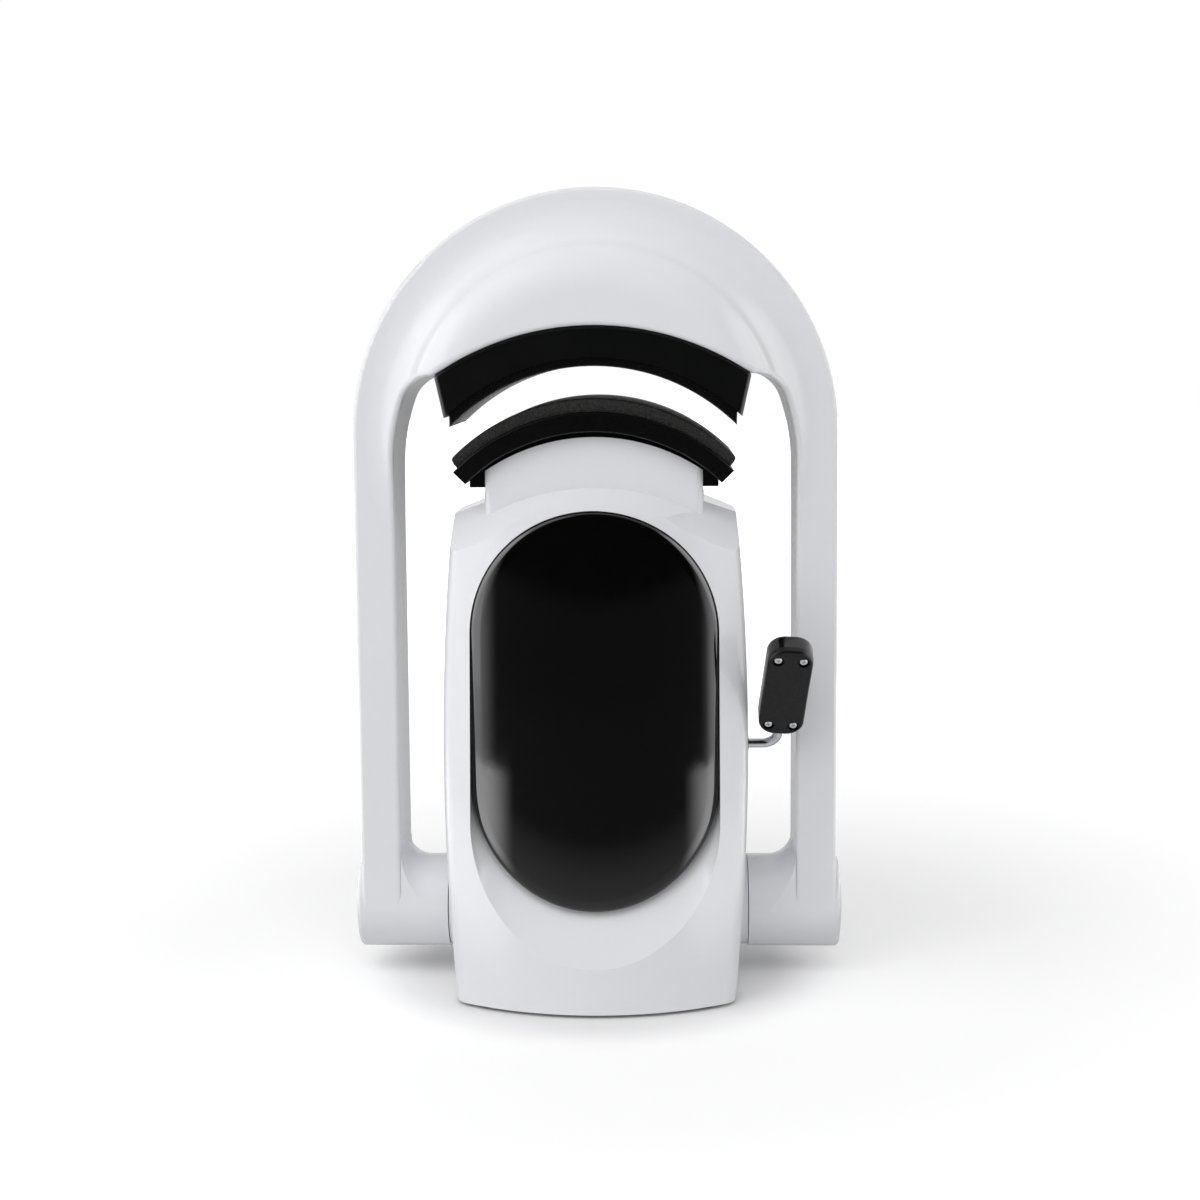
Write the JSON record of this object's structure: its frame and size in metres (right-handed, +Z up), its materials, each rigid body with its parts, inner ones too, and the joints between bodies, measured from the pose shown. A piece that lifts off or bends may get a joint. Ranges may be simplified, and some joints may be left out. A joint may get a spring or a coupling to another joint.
{
  "type": "cap heat press",
  "caption": "Upright craft press with a curved heater in a hinged horseshoe arm above a curved foam-topped platen that a side lever raises.",
  "frame": {"origin": "on the table, on the plane of symmetry and directly under the arm's hinge axis", "axes": "+Z up; the glossy panel faces -Y; +X is to the right of someone who looks at the panel; the arm's hinge axis runs along X"},
  "size_m": [0.275, 0.1837, 0.44],
  "materials": {
    "white_gloss": "glossy moulded white",
    "panel_black": "high-gloss black",
    "shroud_charcoal": "matte charcoal",
    "heater_black": "black non-stick coating",
    "plate_black": "black anodised, satin",
    "black_foam": "open-cell silicone sponge with a smooth skin",
    "black_plastic": "fine satin",
    "black_rubber": "matte",
    "bright_steel": "polished",
    "chassis_steel": "zinc-plated sheet",
    "frame_aluminium": "plain bar",
    "spring_steel": "bright wire",
    "screw_steel": "zinc-plated",
    "bearing_bronze": "sintered bronze",
    "pin_brass": "plated",
    "circuit_board": "solder mask",
    "element_silicone": "silicone mat",
    "insulation_wool": "glass wool"
  },
  "bodies": {
    "base": {"housing_front": "white_gloss", "housing_rear": "white_gloss", "panel": "panel_black", "display_board": "circuit_board", "base_plate": "chassis_steel", "rubber_feet": "black_rubber", "chassis_plates": "chassis_steel", "guide_plate": "chassis_steel", "guide_bushes": "bearing_bronze", "return_springs": "spring_steel", "lever_bushes": "bearing_bronze", "rod_grommet": "black_plastic", "power_board": "circuit_board", "power_inlet": "black_plastic", "inlet_pins": "pin_brass", "switch_frame": "black_plastic", "shell_screws": "screw_steel", "chassis_screws": "screw_steel", "board_screws": "screw_steel", "hub_shaft": "bright_steel", "hub_spacers": "bright_steel", "friction_washers": "spring_steel", "hub_nuts": "screw_steel"},
    "arm": {"arm_front": "white_gloss", "arm_rear": "white_gloss", "hub_covers": "white_gloss", "hub_caps": "white_gloss", "arm_frame": "frame_aluminium", "arm_screws": "screw_steel", "hub_screws": "screw_steel", "hub_bushes": "bearing_bronze", "heater_shroud": "shroud_charcoal", "heat_plate": "heater_black", "heating_element": "element_silicone", "insulation_pad": "insulation_wool", "thermostat": "black_plastic", "heater_studs": "bright_steel", "stud_nuts": "screw_steel"},
    "platen": {"foam_pad": "black_foam", "platen_plate": "plate_black", "platen_block": "plate_black", "lift_column": "bright_steel", "guide_rods": "bright_steel", "rod_collars": "spring_steel", "cam_follower": "bright_steel", "platen_bolts": "screw_steel"},
    "lever": {"grip_front": "black_plastic", "grip_back": "black_plastic", "grip_screws": "screw_steel", "lever_rod": "bright_steel", "lever_shaft": "bright_steel", "shaft_collars": "bright_steel", "lift_cam": "bright_steel"},
    "switch": {"switch_rocker": "black_plastic"}
  },
  "joints": [
    {"name": "arm_swing", "type": "hinge", "parent": "base", "child": "arm", "pos_m": [0, 0, 0.039], "axis": [1, 0, 0], "range_deg": [-50, 0]},
    {"name": "platen_lift", "type": "slide", "parent": "base", "child": "platen", "axis": [0, 0, 1], "range_m": [0, 0.0145], "deforming": ["return_springs"]},
    {"name": "lever_turn", "type": "hinge", "parent": "base", "child": "lever", "pos_m": [0, -0.025, 0.1346], "axis": [1, 0, 0], "range_deg": [0, 70]},
    {"name": "rocker", "type": "hinge", "parent": "base", "child": "switch", "pos_m": [0.022, 0.077, 0.042], "axis": [1, 0, 0], "range_deg": [0, 16]}
  ],
  "couplings": [
    {"joint": "lever_turn", "follows": "platen_lift", "rad_per_m": 84.25}
  ]
}
